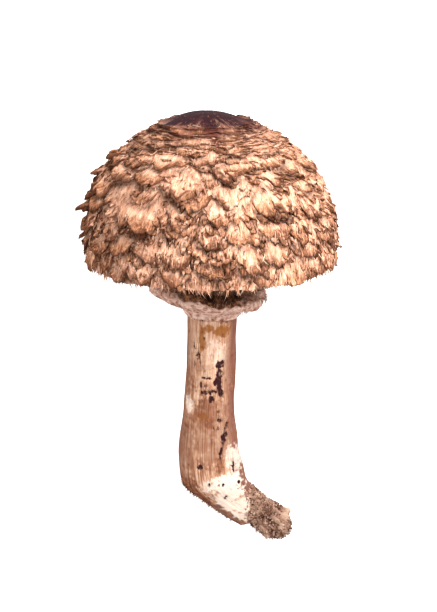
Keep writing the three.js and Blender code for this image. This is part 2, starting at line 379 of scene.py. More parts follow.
def bigScales():
    draw = randomFrom(scalePlan["seed"])

    def spread(amount):
        return 1 + amount * (2 * next(draw) - 1)

    scales = []
    for start, length, width, lift, thick in scalePlan["rows"]:
        count = round(2 * math.pi * float(capRadius(min(start + length / 2, outsideLength))) / (width * 1.02))
        turn = next(draw) * 2 * math.pi
        for i in range(count):
            azimuth = turn + ((i + 0.35 * (2 * next(draw) - 1)) * 2 * math.pi) / count
            leftward = leftness(azimuth)
            scales.append({
                "azimuth": azimuth,
                "start": start + 1.5 * (2 * next(draw) - 1) * (1 if lift > 0.5 else 0.5),
                "length": length * spread(0.2),
                "width": width * spread(0.22),
                "lift": lift * spread(0.45) * (0.75 + 0.95 * leftward),
                "thick": thick * spread(0.15),
                "slant": 0.35 * (2 * next(draw) - 1),
            })
    for azimuth, start, length, width, lift, thick, slant in scalePlan["standing"]:
        scales.append({"azimuth": math.radians(azimuth), "start": start, "length": length, "width": width,
                       "lift": lift, "thick": thick, "slant": slant})
    return scales


def bendScale(scale, base):
    u, v, side = base.T
    seed = scale["seed"]
    still = np.full_like(u, seed * 1.7)
    tip = 1 - scale["round"] * np.abs(u) ** 2.4
    for frequency, share in ((2.5, 1.0), (6, 0.8), (13, 0.7)):
        tip = tip + scale["rag"] * share * softNoise(u * frequency + seed * frequency, still, 3)
    along = scale["start"] + v * tip * scale["length"]
    # A tip that hangs past the rim is drawn in
    along = np.where(along > outsideLength, outsideLength + 0.35 * (along - outsideLength), along)
    half = scale["width"] * (0.36 + 0.16 * np.sin(np.minimum(v * 1.2, 1) * math.pi * 0.8))
    across = u * half + scale["slant"] * (v - 0.5) * scale["length"]
    across = across + 0.5 * softNoise(v * 3 + seed, u * 2 + seed, 9)
    sag = 1 - 0.5 * u * u + 0.5 * softNoise(u * 1.6 + seed, still, 8)
    crown = (0.35 + scale["lift"]) * v ** 1.5 * sag
    curl = scale["curl"] * smoothStep(0.72, 1, v) * sag
    lumps = (0.25 + 0.35 * v) * softNoise(u * 3 + seed, v * 4 + seed, 5)
    fibres = 0.22 * softNoise(u * 8 + seed, v * 1.8 + seed, 6)
    thick = scale["thick"] * (0.3 + 0.5 * v) * (1 + 0.7 * smoothStep(0.7, 0.92, v))
    raised = -0.6 + 0.7 * smoothStep(0, 0.5, v) + crown + curl + lumps + fibres * (side > 0)
    raised = raised - 0.6 * np.abs(u) ** 3 * (1.3 - v) + side * thick * 0.5
    azimuth = scale["azimuth"] + across / np.maximum(capRadius(np.clip(along, 4, outsideLength)), 6)
    points = laid(*onCap(azimuth, along, raised))
    masks = {
        "lip": v + 0.16 * softNoise(u * 3 + seed, v * 3 + seed, 7),
        "tone": scale["tone"],
        "along": along,
        "azimuth": azimuth,
        "under": np.clip(0.5 - 0.5 * side, 0, 1) * v,
        "leftward": leftness(azimuth),
        "pale": scale["pale"],
    }
    return points, masks


rng = np.random.default_rng(7)


# A random value for each name, drawn in the order given
def draws(**spans):
    return {name: rng.uniform(*span) for name, span in spans.items()}


def dressScale(scale, rag, curl, pale):
    scale.update(rag=rag, curl=curl, pale=pale, **draws(seed=(0, 200), round=(0.3, 0.55), tone=(0, 1)))
    return scale


# The scales stand up on the left and lie closer on the right and near the disc
def settleScale(scale):
    leftward = leftness(scale["azimuth"])
    flat = 0.35 if scale["start"] < capPlan["calmTo"] else 1
    scale["start"] += rng.uniform(-2, 1.6) * flat
    scale["azimuth"] += rng.uniform(-0.04, 0.04) * flat
    scale["lift"] *= (0.4 + 0.6 * leftward) * flat * rng.uniform(0.5, 1.15)
    scale["thick"] *= 0.6 if scale["start"] < capPlan["calmTo"] else 1
    return dressScale(scale, 0.13, rng.uniform(0.1, 1.1) * flat * (0.5 + 0.5 * leftward), rng.uniform(-0.3, 0.4))


def smallScales():
    plan = [
        # rows from, to, how many, length, width, lift, thickness, pale lip
        (15, 30, 210, (1.3, 2.6), (7, 17), (0.1, 0.5), 0.42, (0, 1.2)),
        (23, 41, 170, (2.4, 4.4), (4, 9), (0.3, 1.2), 0.6, (-0.4, 0.8)),
        (37, 57, 210, (2.4, 5), (2.4, 6), (0.4, 1.9), 0.65, (-0.6, 0.5)),
        (49, 72, 400, (2.6, 5.6), (1.3, 4.2), (0.4, 1.8), 0.5, (-0.5, 0.5)),
    ]
    scales = []
    for low, high, count, lengths, widths, lifts, thick, pale in plan:
        for _ in range(count):
            scale = draws(azimuth=(0, 2 * math.pi), start=(low, high), length=lengths, width=widths,
                          lift=lifts, slant=(-0.6, 0.6))
            scale["thick"] = thick
            scales.append(dressScale(scale, 0.22, rng.uniform(0, 0.6), rng.uniform(*pale)))
    return scales


# Painted shade just below the lip of each big scale, where the lip's shadow falls
def paintLipShadows(azimuth, along):
    shade = np.zeros(len(along))
    for scale in bigList:
        end = scale["start"] + scale["length"]
        near = np.nonzero(np.abs(along - end) < 6)[0]
        offset = (azimuth[near] - scale["azimuth"] + math.pi) % (2 * math.pi) - math.pi
        u = offset * float(capRadius(min(end, outsideLength))) / (0.5 * scale["width"])
        below = along[near] - end + scale["round"] * scale["length"] * np.abs(u) ** 2.4
        band = smoothStep(-0.6, 0.2, below) * smoothStep(2.9, 0.5, below) * smoothStep(1.2, 0.9, np.abs(u))
        shade[near] = np.maximum(shade[near], band)
    return shade


def capAlong(v):
    return np.minimum(v / capPlan["outShare"], 1) * outsideLength


def capPlace(u, v):
    azimuth, along = turnAt(u), capAlong(v)
    wide = softNoise(u * 14, along / 9, 21, 14) * 0.5 + softNoise(u * 40, along / 5, 22, 40) * 0.4
    ridges = softNoise(u * 130, along / 7, 23, 130) * 0.3 + softNoise(u * 230, along / 3, 24, 230) * 0.2
    rough = smoothStep(capPlan["discEdge"] - 3, capPlan["discEdge"] + 8, along)
    raised = (wide + ridges) * rough + 0.05 * softNoise(u * 30, along / 3, 25, 30)
    ragged = 0.9 * softNoise(u * 70, u * 0, 26, 70) + 0.5 * softNoise(u * 160, u * 0, 27, 160)
    reach = along + ragged * smoothStep(outsideLength - 4, outsideLength, along)
    x, y, z = onCap(azimuth, reach, raised)
    # From the rim the skin turns back under, along the inside of the flesh to the stem's socket
    back = np.clip((v - capPlan["outShare"]) / (1 - capPlan["outShare"]), 0, 1)
    insidePoints = sampledCurve(capPlan["inside"], 60)[1]
    socket, roof = capPlan["socketRadius"], capPlan["socketHeight"]
    path = np.array([capPlan["outside"][-1], capPlan["rimFoot"], *insidePoints[::-6], insidePoints[0],
                     (socket, capPlan["inside"][0][1]), (socket, roof), (0, roof)])
    r, h = tableAt(path, back * (len(path) - 1))
    x = np.where(back > 0, lean(r * np.cos(azimuth), h), x)
    y = np.where(back > 0, r * np.sin(azimuth), y)
    z = np.where(back > 0, h, z)
    return x, y, z


def capMasks(u, v):
    return {"along": capAlong(v), "azimuth": turnAt(u), "leftward": leftness(turnAt(u)), "lip": 0, "tone": 0.5,
            "pale": 0, "under": v > capPlan["outShare"] + 0.005}


print("cap")
capFlesh = rolledSkin("capFlesh", capPlan, capPlace, capMasks)
bigShape, smallShape = pillowShape(columns=18, rows=14), pillowShape(columns=7, rows=5)
bigList = [settleScale(scale) for scale in bigScales()]
half = len(bigList) // 2
upperScales = copiedShape("capScalesUpper", bigShape, bigList[:half], bendScale)
lowerScales = copiedShape("capScalesLower", bigShape, bigList[half:], bendScale)
capShreds = copiedShape("capShreds", smallShape, smallScales(), bendScale)


# A fibre: a thin three-sided hair that tapers from its root at 0 to its tip at 1
def newHair():
    piece = newGrid("hair", columns=3, rows=4)
    flat = corners(piece)
    turn = (flat[:, 0] + 0.5) * 2 * math.pi
    share = flat[:, 1] + 0.5
    width = 1 - share ** 1.5
    setCorners(piece, np.stack([np.cos(turn) * width, share, np.sin(turn) * width], axis=1))
    closeSeams(piece, 1e-5)
    return piece


hair = newHair()


def bendFibre(fibre, base):
    side, share, top = base.T
    along = fibre["start"] + share * fibre["length"]
    across = fibre["slant"] * share * fibre["length"] + side * fibre["radius"] + fibre["curve"] * share ** 2
    raised = fibre["raised"] * smoothStep(-0.3, 0.3, share) - 0.4 * (1 - smoothStep(0, 0.25, share))
    raised = raised + fibre["lift"] * share + fibre["bend"] * share * share + top * fibre["radius"]
    azimuth = fibre["azimuth"] + across / max(float(capRadius(min(fibre["start"], outsideLength))), 5)
    masks = {"lip": fibre["tone"], "tone": fibre["tone"], "along": along, "azimuth": azimuth,
             "under": 0.0, "leftward": leftness(azimuth), "pale": fibre["pale"]}
    return laid(*onCap(azimuth, along, raised)), masks


def capFibres():
    fibres = []
    for _ in range(capPlan["fringe"]):
        fibres.append({"start": outsideLength - rng.uniform(0.5, 5),
                       **draws(length=(1.2, 4.2), raised=(-0.6, 0.9), lift=(-0.4, 0.7))})
    for _ in range(capPlan["looseFibres"]):
        fibres.append({"start": 22 + 50 * rng.random() ** 0.8,
                       **draws(length=(1.5, 4.8), raised=(0.2, 1.7), lift=(0, 0.7))})
    for fibre in fibres:
        fibre.update(draws(azimuth=(0, 2 * math.pi), bend=(-0.5, 0.6), slant=(-0.3, 0.3), curve=(-1.5, 1.5),
                           radius=(0.12, 0.3), tone=(0, 1), pale=(-0.2, 1)))
    return fibres


def readMask(piece, name):
    values = np.empty(len(piece.data.vertices))
    piece.data.attributes[name].data.foreach_get("value", values)
    return values


capHairs = copiedShape("capHairs", hair, capFibres(), bendFibre)
capPieces = (capFlesh, upperScales, lowerScales, capShreds, capHairs)
for piece in capPieces:
    setMask(piece, "hollow", paintLipShadows(readMask(piece, "azimuth"), readMask(piece, "along")))

# Cap finish: pale fibres under brown lips, and a smooth dark disc on top
capColours = {
    "light": (0.96, 0.68, 0.51), "cream": (0.91, 0.51, 0.345), "peach": (0.7, 0.34, 0.2), "ochre": (0.62, 0.33, 0.17),
    "tan": (0.39, 0.15, 0.075), "brown": (0.14, 0.048, 0.023), "dark": (0.035, 0.01, 0.006),
    "maroon": (0.028, 0.006, 0.01), "discTan": (0.23, 0.075, 0.05),
}


def makeCapFinish():
    finish = Finish("capSkin", roughness=0.85, specular=0.0)
    finish.shader.inputs["Coat Roughness"].default_value = 0.38
    along, azimuth, lip, tone, pale, leftward, hollow, under = (finish.mask(name) for name in (
        "along", "azimuth", "lip", "tone", "pale", "leftward", "hollow", "under"))
    tan, brown, dark = (capColours[name] for name in ("tan", "brown", "dark"))

    def downward(across, down, detail):
        return finish.streaks(azimuth * across, along * down, detail, 0.65, 0.4)

    streaks, strands, edge = downward(42, 0.17, 5.0), downward(120, 0.35, 3.0), downward(9, 0.12, 5.0)
    patches, grit = finish.objectNoise(110, 5.0, 0.65), finish.objectNoise(620, 4.0, 0.7)
    # Pale fibres, browned in patches, and browner towards the left: partly the shaggier left side, partly painted
    # shade on the side away from the key light
    colour = finish.ramp(streaks * 0.45 + strands * 0.35 + grit * 0.2, [
        (0.34, brown), (0.4, tan), (0.45, capColours["peach"]), (0.51, capColours["cream"]),
        (0.6, capColours["light"])])
    low = finish.between(along, 48, 72)
    browning = finish.between(patches * 0.7 + grit * 0.3 + leftward * 0.12 + low * 0.02, 0.57, 0.68)
    colour = finish.blend(browning * 0.5, colour, brown)
    # Brown, crumbly lips and rims to the scales, spreading further on the left, where this is partly painted shade
    lipTone = finish.ramp(grit * 0.55 + strands * 0.45 + tone * 0.08 - 0.04, [
        (0.41, dark), (0.47, brown), (0.53, tan), (0.61, capColours["ochre"])])
    lipReach = lip + grit * 1.1 + tone * 0.25 - pale * 0.35 + leftward * 0.1 + low * 0.03
    colour = finish.blend(finish.between(lipReach, 1.24, 1.53) * 0.9, colour, lipTone)
    rim = finish.between(lip, 0.88, 0.97) * finish.between(grit + tone * 0.2 - pale * 0.1, 0.42, 0.62)
    colour = finish.blend(rim * 0.75, colour, brown)
    # Specks, and painted shade in the hollows below the scales' lips
    colour = finish.blend(finish.between(grit + low * 0.03, 0.62, 0.68) * 0.75, colour, dark)
    colour = finish.blend(hollow * finish.between(grit + patches, 0.75, 1.1) * 0.75, colour, dark)
    # The dark disc, which runs out unevenly
    lobes = downward(1.6, 0.04, 2.0)
    disc = finish.between(along + edge * 20 + strands * 12 + lobes * 26,
                          capPlan["discEdge"] + 35, capPlan["discEdge"] + 23)
    deep = finish.between(along + patches * 40 + strands * 14 + lobes * 10, 58, 42)
    flecks = finish.between(grit * 0.5 + edge * 0.3 + strands * 0.3, 0.59, 0.68)
    discColour = finish.blend(deep, capColours["discTan"], capColours["maroon"])
    colour = finish.blend(disc, colour, finish.blend(flecks * 0.6, discColour, tan))
    # Painted shade: the scales' undersides and the cap's inside, under the gills, are darkened brown
    colour = finish.blend(finish.between(under, 0.3, 0.9) * 0.6, colour, brown)
    finish.link(colour, "Base Color")
    finish.link(0.9 - disc * 0.3, "Roughness")
    finish.link(disc * (0.16 - grit * 0.16), "Coat Weight")
    finish.link(finish.bump(strands * 0.5 + grit * 0.5, 0.0009, 0.9), "Normal")
    return finish


capSkin = makeCapFinish()
for piece in capPieces:
    finished(piece, capSkin, "cap")
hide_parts("cap")

# Bits of straw and grass caught on the cap: azimuth in degrees, along, length, slant, radius, raised
strawPlan = [(-112, 13.5, 2.6, 1.6, 0.24, 0.2), (-118, 14, 2, 1.2, 0.2, 0.3), (-150, 19, 2.6, -0.8, 0.16, 0.4),
             (-143, 20.5, 2, 1.4, 0.15, 0.5), (-156, 22, 1.8, 0.6, 0.16, 0.5), (-70, 14.5, 1.6, -1.2, 0.12, 0.3),
             (-66, 64, 3.2, -0.7, 0.3, 1.8), (-68, 66, 2.2, 0.9, 0.24, 1.9), (-80, 60.5, 1.5, 0.4, 0.2, 1.8),
             (60, 30, 4, 0.7, 0.2, 1.6), (140, 46, 3.4, -0.6, 0.2, 1.9)]
strawList = [{"azimuth": math.radians(azimuth), "start": start, "length": length, "slant": slant, "radius": radius,
              "raised": raised, "lift": 0.3, "bend": 0.2, "curve": 0.4, "tone": 0.5, "pale": 1.0}
             for azimuth, start, length, slant, radius, raised in strawPlan]
straws = copiedShape("strawBits", hair, strawList, bendFibre)
strawFinish = Finish("dryStraw", roughness=0.7, specular=0.3)
strawTone = strawFinish.objectNoise(500, 2.0)
strawFinish.link(strawFinish.ramp(strawTone, [(0.35, (0.6, 0.38, 0.16)), (0.6, (0.9, 0.78, 0.58))]), "Base Color")
finished(straws, strawFinish, "cap")

print("gills")
gillPlan = {
    "edge": [(12.2, 38), (13.2, 33), (18, 26.5), (25, 17.5), (31, 9), (35.5, 3.4), (38.4, 1.6)],
    "gap": 0.35, "skin": 0.9, "sets": 42, "starts": [0, 0.5, 0.25, 0.5], "thickness": 0.34,
    "columns": 120, "rows": 36,
}
innerPoints, innerWays = sampledCurve(capPlan["inside"], 120)[1:]
edgePoints = sampledCurve(gillPlan["edge"], 120)[1]


def underFlesh(share, depth):
    place = np.clip(share, 0, 1) * (len(innerPoints) - 1)
    r, z, wayR, wayZ = tableAt(np.hstack([innerPoints, innerWays]), place)
    return r + wayZ * depth, z - wayR * depth


def gillSkinPlace(u, v):
    azimuth = 2 * math.pi * u
    lower = (v >= 0.5) & (v <= 1 - 1e-4)
    r, z = underFlesh(np.where(v < 0.5, v * 2, 2 - 2 * v), gillPlan["gap"] + lower * gillPlan["skin"])
    return lean(r * np.cos(azimuth), z), r * np.sin(azimuth), z


def bendGill(gill, base):
    u, v, side = base.T
    share = gill["start"] + (1 - gill["start"]) * (u + 1) / 2
    rootR, rootZ = underFlesh(share, gillPlan["gap"] + gillPlan["skin"] * 0.6)
    edgeR, edgeZ = tableAt(edgePoints, share * (len(edgePoints) - 1))
    deep = v * (1 - 0.75 * (1 - smoothStep(0, 0.25, (u + 1) / 2)) * (gill["start"] > 0))
    r = rootR + (edgeR - rootR) * deep
    z = rootZ + (edgeZ - rootZ) * deep
    wave = 0.5 * softNoise(share * 7 + gill["seed"], v * 2 + gill["seed"], 31) * v
    sideways = wave + side * gillPlan["thickness"] / 2
    azimuth = gill["azimuth"] + sideways / np.maximum(r, 6)
    points = laid(lean(r * np.cos(azimuth), z), r * np.sin(azimuth), z)
    return points, {"edge": v, "tone": gill["tone"]}


gillSkin = rolledSkin("gillSkin", gillPlan, gillSkinPlace, lambda u, v: {"edge": 0, "tone": 0.5})
blade = pillowShape(columns=14, rows=5)
gillCount = gillPlan["sets"] * len(gillPlan["starts"])
gillList = [{"azimuth": 2 * math.pi * (number + rng.uniform(-0.2, 0.2)) / gillCount,
             "start": gillPlan["starts"][number % len(gillPlan["starts"])] * rng.uniform(0.85, 1.1),
             "seed": rng.random() * 100, "tone": rng.random()} for number in range(gillCount)]
gills = copiedShape("gillBlades", blade, gillList, bendGill)
gillFinish = Finish("gillFlesh", roughness=0.8, specular=0.05)
gillTone = gillFinish.objectNoise(160, 4.0)
gillColour = gillFinish.ramp(gillTone * 0.6 + gillFinish.mask("tone") * 0.4, [
    (0.3, (0.62, 0.47, 0.33)), (0.55, (0.78, 0.67, 0.53)), (0.8, (0.86, 0.79, 0.67))])
gillEdge = gillFinish.between(gillFinish.mask("edge"), 0.86, 1)
gillColour = gillFinish.blend(gillEdge * 0.35, gillColour, (0.42, 0.26, 0.17))
gillFinish.link(gillColour, "Base Color")
gillFinish.link(gillFinish.bump(gillTone, 0.0004, 0.6), "Normal")
finished(gillSkin, gillFinish, "gills", "gills")
finished(gills, gillFinish, "gills")

print("stem")
stemPlan = {
    "sections": [  # left end, right end (x, z), how far back its middle is, half its thickness
        (-8.3, 45.2, 8.3, 45.2, 0, 8.3), (-8.4, 12, 8.4, 12, 0, 8.4), (-8.5, -21.9, 8.6, -21.9, 0, 8.6),
        (-8.8, -32.2, 8.3, -32.2, 0, 8.5), (-9.9, -47.1, 8.1, -47.1, 0, 8.7), (-11, -60.3, 8.8, -60.3, 0.1, 9.2),
        (-11.9, -70.7, 10, -70.7, 0.4, 10), (-11.7, -77.9, 11.3, -77.1, 1, 10.4),
        (-10.6, -82.9, 12.5, -81.8, 2, 10.2), (-7.6, -86.6, 14.2, -84.9, 3.4, 9.3),
        (-3.4, -90.8, 16.6, -87.7, 5, 8.3), (1.7, -95.2, 18.9, -90.7, 6.4, 7.3),
        (6.9, -99.3, 21, -93.5, 7.5, 6.2), (11.4, -102.5, 22.5, -95.7, 8.1, 5)],
    "columns": 168,
    "rows": 300,
    # marks by kind: across, down, half width, half length, turn in degrees, strength
    "marks": {
        "dark": [(3, 35.5, 1.7, 1.5, 0, 1), (2.8, 38.8, 1.2, 2.2, 0, 0.9), (2.2, 42.5, 1.5, 2.2, -24, 1),
                 (3.3, 45.6, 0.97, 1.9, -12, 0.95), (-2.1, 40.3, 2.2, 0.48, 0, 0.9),
                 (-4.1, 42.7, 0.49, 2, 0, 0.7), (-1.5, 45.4, 2.9, 0.92, -6, 1), (-0.3, 47.7, 1.1, 1.5, 0, 0.9),
                 (-2.3, 42.9, 0.53, 1.1, 0, 0.6), (2.7, 56, 0.85, 1, 0, 1), (2.3, 53.4, 0.32, 1.7, -8, 0.6),
                 (0.6, 58.1, 0.3, 1.1, 10, 0.6), (2.1, 58.6, 0.35, 0.93, -14, 0.5),
                 (5.2, 58.8, 0.71, 1.9, 14, 0.8), (4.3, 62.6, 0.98, 3, 14, 1), (3.2, 67.6, 0.71, 3.2, 10, 0.8),
                 (-4.4, 73.2, 1.3, 1.5, 15, 0.85), (7.6, 73.5, 0.47, 2.7, -4, 0.95),
                 (7.3, 73.1, 1.6, 0.3, 0, 0.6), (7.6, 71.8, 1.2, 0.3, 12, 0.4), (7.4, 74.5, 1.1, 0.3, -8, 0.4),
                 (-1, 79.9, 0.5, 0.95, 20, 0.85), (3.9, 80.1, 0.57, 0.72, 20, 1), (9.5, 80.2, 0.47, 0.68, 0, 0.9),
                 (9.4, 82.7, 0.32, 0.61, 0, 0.8), (4.9, 85.8, 0.83, 1.1, 25, 0.8),
                 (-1.8, 77.9, 0.71, 0.3, 10, 0.5), (1.2, 83, 0.39, 0.38, 0, 0.4), (-6.2, 28.8, 0.3, 1.6, -4, 0.7),
                 (-5.8, 29.9, 0.81, 0.3, 0, 0.6), (-5.7, 32.1, 0.81, 0.3, 0, 0.6), (-4.9, 30.8, 0.3, 3.3, 4, 0.6),
                 (-4.3, 33.5, 0.3, 2.4, -6, 0.65), (-6.1, 35.3, 0.3, 1.6, 8, 0.5), (-5.4, 39, 0.31, 1.3, 0, 0.45),
                 (-2.8, 25.7, 0.56, 0.65, 0, 0.7), (2.2, 16.3, 0.52, 0.65, 0, 0.7),
                 (-2.8, 18.8, 2.4, 0.43, -8, 0.8)],
        "red": [(2.7, 72.2, 0.96, 3.6, 4, 0.8), (-2.5, 50.3, 3.2, 2.6, 0, 0.75), (-0.9, 56.8, 1.6, 2.8, 12, 0.8),
                (-5.7, 52.1, 1, 4.8, 0, 0.5), (0, 63.3, 1.8, 4.1, 8, 0.45), (-2.3, 73.7, 0.89, 0.95, 0, 0.6),
                (5.1, 85.3, 1.9, 2.1, 25, 0.35), (4.3, 18.4, 3.1, 2, 0, 0.8), (-1.8, 53, 5, 6.5, 8, 0.6),
                (-7.5, 44, 1.6, 7, 0, 0.5), (6.5, 51, 1.8, 9, 6, 0.45)],
        "amber": [(-3.3, 54.2, 2, 2, 0, 0.9), (-1.2, 21.9, 2.6, 1.4, 0, 0.9), (3.4, 23, 3, 2.4, 0, 1),
                  (-3.4, 26.6, 1.3, 4.9, -3, 0.9), (2.8, 29.4, 0.63, 0.44, 0, 0.5)],
        "pale": [(-8.1, 50.5, 1.5, 3.5, -4, 0.9), (-7.2, 33.3, 1.9, 6.6, 0, 0.35), (1.4, 30.4, 4.2, 5.1, 0, 0.55),
                 (7.7, 71.2, 3.4, 6, -8, 0.75), (4.5, 79.6, 7, 3.8, -14, 1), (6.6, 84.5, 5.6, 4.2, -32, 1),
                 (12.5, 89.9, 3.3, 4.2, -30, 0.8), (-4.3, 15.5, 5.7, 4, 0, 0.6), (6.5, 43.3, 1.6, 5.5, 0, 0.3),
                 (20.5, 91.5, 2, 2.6, 0, 0.8), (6.2, 89.3, 7.4, 2.6, 33, 1), (-1.5, 80.5, 2.6, 3, 20, 0.8),
                 (12.5, 92.5, 4.4, 2.2, 30, 0.9), (6, 94, 8, 2.8, 38, 1), (13, 96.5, 4, 2.6, 33, 0.9)],
        # The mauve marks are painted shade along the stem's left and right edges
        "mauve": [(8.2, 48.1, 1.4, 15, -3, 0.8), (-8.4, 37, 0.65, 11, 2, 0.6), (-9.5, 66, 1.2, 12, 4, 0.6)],
        "tan": [(-7.7, 67.5, 0.85, 11, 0, 0.8), (-8.6, 72, 0.68, 6.8, 0, 0.6), (0, 60, 8.5, 15, 0, 0.75),
                (5.5, 38, 3, 9, 0, 0.6), (-4, 38, 4, 8, 0, 0.5)],
    },
    # paints, from the first to the last: kind, where its mask starts to show, over what reach, strength
    "paints": [("tan", 0.1, 0.7, 0.6), ("mauve", 0.1, 1, 0.6), ("pale", 0.2, 0.9, 0.8), ("amber", 0.1, 0.9, 0.9),
               ("red", 0.1, 0.9, 0.93), ("dark", 0.25, 0.6, 1), ("soil", 0.3, 0.3, 0.95)],
    "soilFrom": 13.5,
    "stainFrom": 119,  # how far down the lower edge's brown stain begins
}


# Centripetal spline through points, as the CAD's, at shares from 0 to 1
def centripetal(points, shares):
    points = np.array(points, float)
    last = len(points) - 1
    padded = np.concatenate([[2 * points[0] - points[1]], points, [2 * points[-1] - points[-2]]])
    t = np.clip(shares, 0, 1) * last
    cell = np.minimum(t.astype(int), last - 1)
    w = (t - cell)[:, None]
    p0, p1, p2, p3 = (padded[cell + i] for i in range(4))
    d0, d1, d2 = (np.sqrt(np.linalg.norm(b - a, axis=1))[:, None] for a, b in ((p0, p1), (p1, p2), (p2, p3)))
    leave = ((p1 - p0) / d0 - (p2 - p0) / (d0 + d1) + (p2 - p1) / d1) * d1
    arrive = ((p2 - p1) / d1 - (p3 - p1) / (d1 + d2) + (p3 - p2) / d2) * d1
    return cubic(p1, p2, leave, arrive, w)


def stemFrame(shares):
    leftX, leftZ, rightX, rightZ, back, halves = np.array(stemPlan["sections"], float).T
    tables = ((leftX, back, leftZ), (rightX, back, rightZ), (halves, np.arange(len(back)), 0 * back))
    left, right, half = (centripetal(np.stack(table, axis=1), shares) for table in tables)
    return left, right, half[:, 0]


evenShares = np.linspace(0, 1, 800)
evenLeft, evenRight, _ = stemFrame(evenShares)
evenMiddle = (evenLeft + evenRight) / 2
stemTravel = np.concatenate([[0], np.cumsum(np.linalg.norm(np.diff(evenMiddle, axis=0), axis=1))])
stemLength = stemTravel[-1]


# The bare tube at each corner: its middle, half its width, half its thickness, the turn, and x and z there
def bareStem(u, v):
    left, right, half = stemFrame(np.interp(v * stemLength, stemTravel, evenShares))
    middle, across, turn = (left + right) / 2, (right - left) / 2, turnAt(u)
    x, _, z = (middle + across * np.cos(turn)[:, None]).T
    return middle, across, half, turn, x, z


# One mark: an ellipse with a wobbly edge
def markShare(x, down, markX, markDown, halfWide, halfLong, tilt):
    angle = math.radians(tilt)
    offX, offDown = x - markX, down - markDown
    along = (offDown * math.cos(angle) - offX * math.sin(angle)) / halfLong
    across = (offX * math.cos(angle) + offDown * math.sin(angle)) / halfWide
    wobble = 0.28 * softNoise(x * 1.4 + 40, down * 1.1 + 60, 51) + 0.2 * softNoise(x * 3.4 + 9, down * 1.4, 52)
    return smoothStep(1.3, 0.65, np.hypot(along, across) + wobble)


def marksOf(kind, x, down):
    total = 0 * x
    for *mark, strength in stemPlan["marks"][kind]:
        total = np.maximum(total, markShare(x, down, *mark) * strength)
    return total


def stemPlace(u, v):
    middle, across, half, turn, x, z = bareStem(u, v)
    down = v * stemLength
    fibres = 0.13 * softNoise(u * 46, down / 16, 41, 46) + 0.07 * softNoise(u * 110, down / 8, 42, 110)
    lumps = 0.35 * softNoise(u * 5, down / 14, 43, 5) + 0.16 * softNoise(u * 12, down / 6, 44, 12)
    pits = marksOf("dark", x, -z) * smoothStep(-0.05, 0.3, -np.sin(turn))
    crust = smoothStep(stemPlan["soilFrom"] - 1, stemPlan["soilFrom"] + 1, x + softNoise(x * 0.6, z * 0.6, 45))
    raised = (fibres + lumps) * smoothStep(20, 60, down) - 0.55 * pits
    raised = raised + crust * (0.35 + 0.35 * softNoise(u * 60, down / 0.9, 46, 60))
    ends = np.minimum(smoothStep(0, 0.004, v), smoothStep(1, 0.99, v))
    scale = (1 + raised / np.linalg.norm(across, axis=1)) * ends
    outward = across * np.cos(turn)[:, None]
    outward[:, 1] += np.sin(turn) * half
    x, y, z = (middle + outward * scale[:, None]).T
    return lean(x, z), y, z


def stemMasks(u, v):
    turn, x, z = bareStem(u, v)[3:]
    masks = {"down": v * stemLength, "turn": turn}
    for kind in stemPlan["marks"]:
        masks[kind] = marksOf(kind, x, -z) * smoothStep(-0.05, 0.2, -np.sin(turn))
    # The foot's lower edge is stained all along
    stain = smoothStep(0.81, 0.93, 0.08 * softNoise(x * 0.9, z * 0.9, 53) - np.cos(turn - 0.58))
    stain = stain * smoothStep(stemPlan["stainFrom"], stemPlan["stainFrom"] + 7, masks["down"])
    masks["red"] = np.maximum(masks["red"], 1.15 * stain)
    fromX = stemPlan["soilFrom"]
    masks["soil"] = smoothStep(fromX - 2.5, fromX + 2, x + 1.2 * softNoise(x * 0.6, z * 0.6, 45))
    return masks


stemSkin = rolledSkin("stemSkin", stemPlan, stemPlace, stemMasks)
stemColours = {"cream": (0.54, 0.335, 0.22), "peach": (0.35, 0.163, 0.096), "tan": (0.19, 0.073, 0.04),
               "amber": (0.23, 0.078, 0.016), "red": (0.13, 0.038, 0.018), "dark": (0.03, 0.01, 0.011),
               "pale": (0.84, 0.69, 0.58), "mauve": (0.13, 0.045, 0.034)}


def makeStemFinish():
    finish = Finish("stemFlesh", roughness=0.7, specular=0.0)
    down, turn = finish.mask("down"), finish.mask("turn")
    grain, fine = finish.streaks(turn * 26, down * 0.07, 5.0, 0.65), finish.streaks(turn * 60, down * 0.3, 4.0)
    patches, specks = finish.objectNoise(90, 4.0), finish.objectNoise(520, 3.0)
    colour = finish.ramp(grain * 0.5 + fine * 0.25 + patches * 0.25, [
        (0.4, stemColours["tan"]), (0.46, stemColours["peach"]),
        (0.53, stemColours["cream"]), (0.65, stemColours["pale"])])
    # Painted shade: the stem's left and right edges are darkened to mauve
    sides = finish.cosine(turn)
    edgeShade = finish.between(sides * sides + grain * 0.6 + patches * 0.5 + sides * 0.2, 0.85, 1.5)
    colour = finish.blend(edgeShade * 0.85, colour, stemColours["mauve"])
    paints = dict(stemColours)
    paints["red"] = finish.ramp(grain * 0.5 + specks * 0.5, [
        (0.4, (0.05, 0.016, 0.01)), (0.5, (0.15, 0.05, 0.026)), (0.6, (0.32, 0.13, 0.07))])
    paints["soil"] = finish.ramp(specks * 0.6 + patches * 0.4, [
        (0.4, (0.045, 0.02, 0.013)), (0.5, (0.17, 0.085, 0.055)), (0.62, (0.36, 0.22, 0.155))])
    rough = specks * 0.55 + fine * 0.45
    for kind, low, reach, strength in stemPlan["paints"]:
        breaks = 4.5 if kind in ("dark", "red") else 2.2
        share = finish.between(finish.mask(kind) * 1.15 + rough * breaks - (breaks / 2 + 0.1), low, low + reach)
        colour = finish.blend(share * strength, colour, paints[kind])
    colour = finish.blend(finish.between(specks, 0.64, 0.72) * 0.45, colour, stemColours["red"])
    finish.link(colour, "Base Color")
    finish.link(finish.bump(grain * 0.6 + fine * 0.4, 0.0005, 0.7), "Normal")
    return finish


finished(stemSkin, makeStemFinish(), "stem", "stem")

